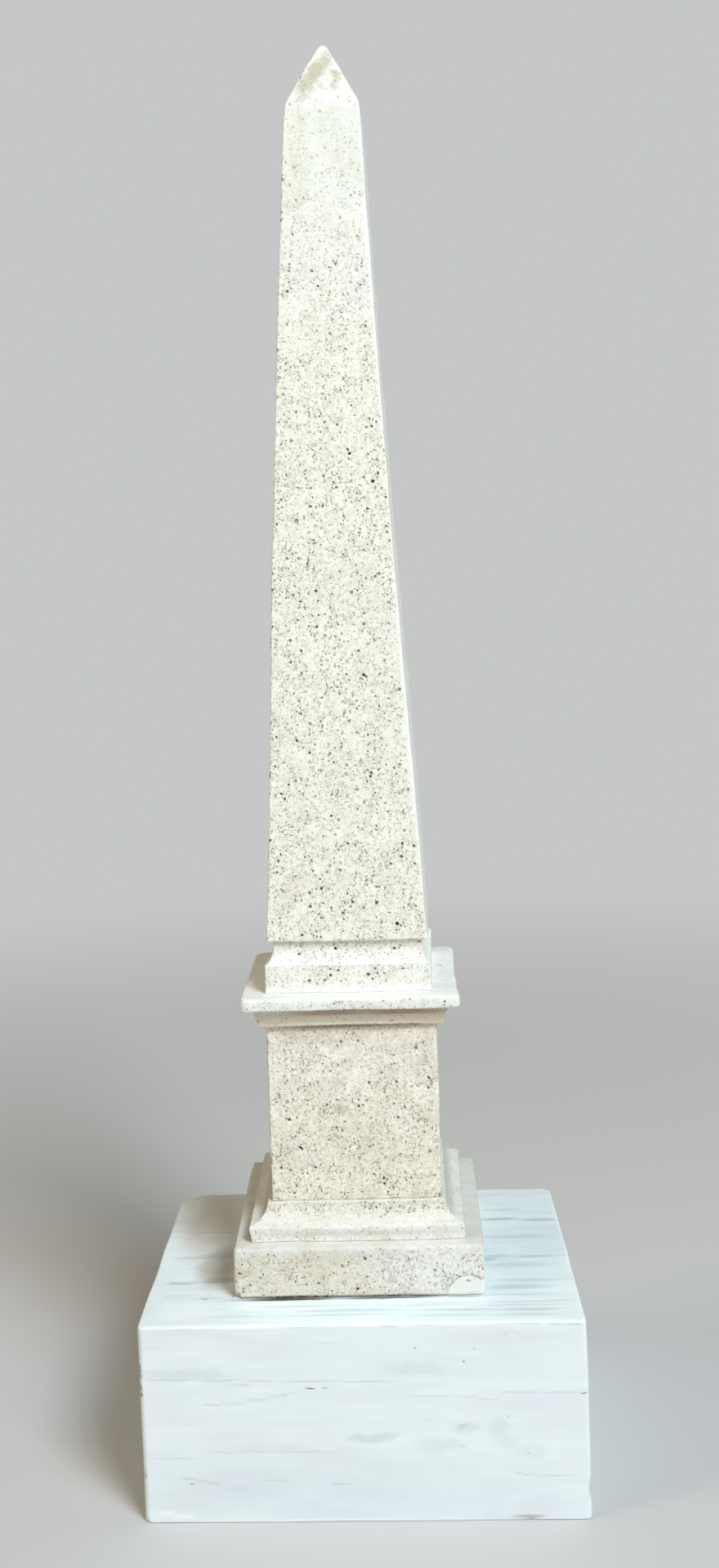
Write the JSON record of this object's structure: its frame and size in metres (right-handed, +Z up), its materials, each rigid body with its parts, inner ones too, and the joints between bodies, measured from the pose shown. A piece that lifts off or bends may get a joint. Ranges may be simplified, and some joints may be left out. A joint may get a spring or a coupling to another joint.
{
  "type": "table obelisk ornament",
  "caption": "Tall speckled cast-stone obelisk on a square moulded pedestal, standing on a whitewashed timber block, for a shelf or table.",
  "frame": {"origin": "middle of the timber block's underside, on the surface that it stands on", "axes": "+Z up along the obelisk; the front, with the filled plinth corner at its lower right, faces -Y; +X to the right"},
  "size_m": [0.1944, 0.153, 0.643],
  "materials": {
    "cast_stone": "matte",
    "stone_filler": "matte",
    "whitewashed_timber": "satin"
  },
  "bodies": {
    "root": {"timber_block": "whitewashed_timber", "plinth": "cast_stone", "corner_repair": "stone_filler", "base_moulding": "cast_stone", "die": "cast_stone", "cornice": "cast_stone", "socle": "cast_stone", "shaft": "cast_stone"}
  },
  "joints": []
}
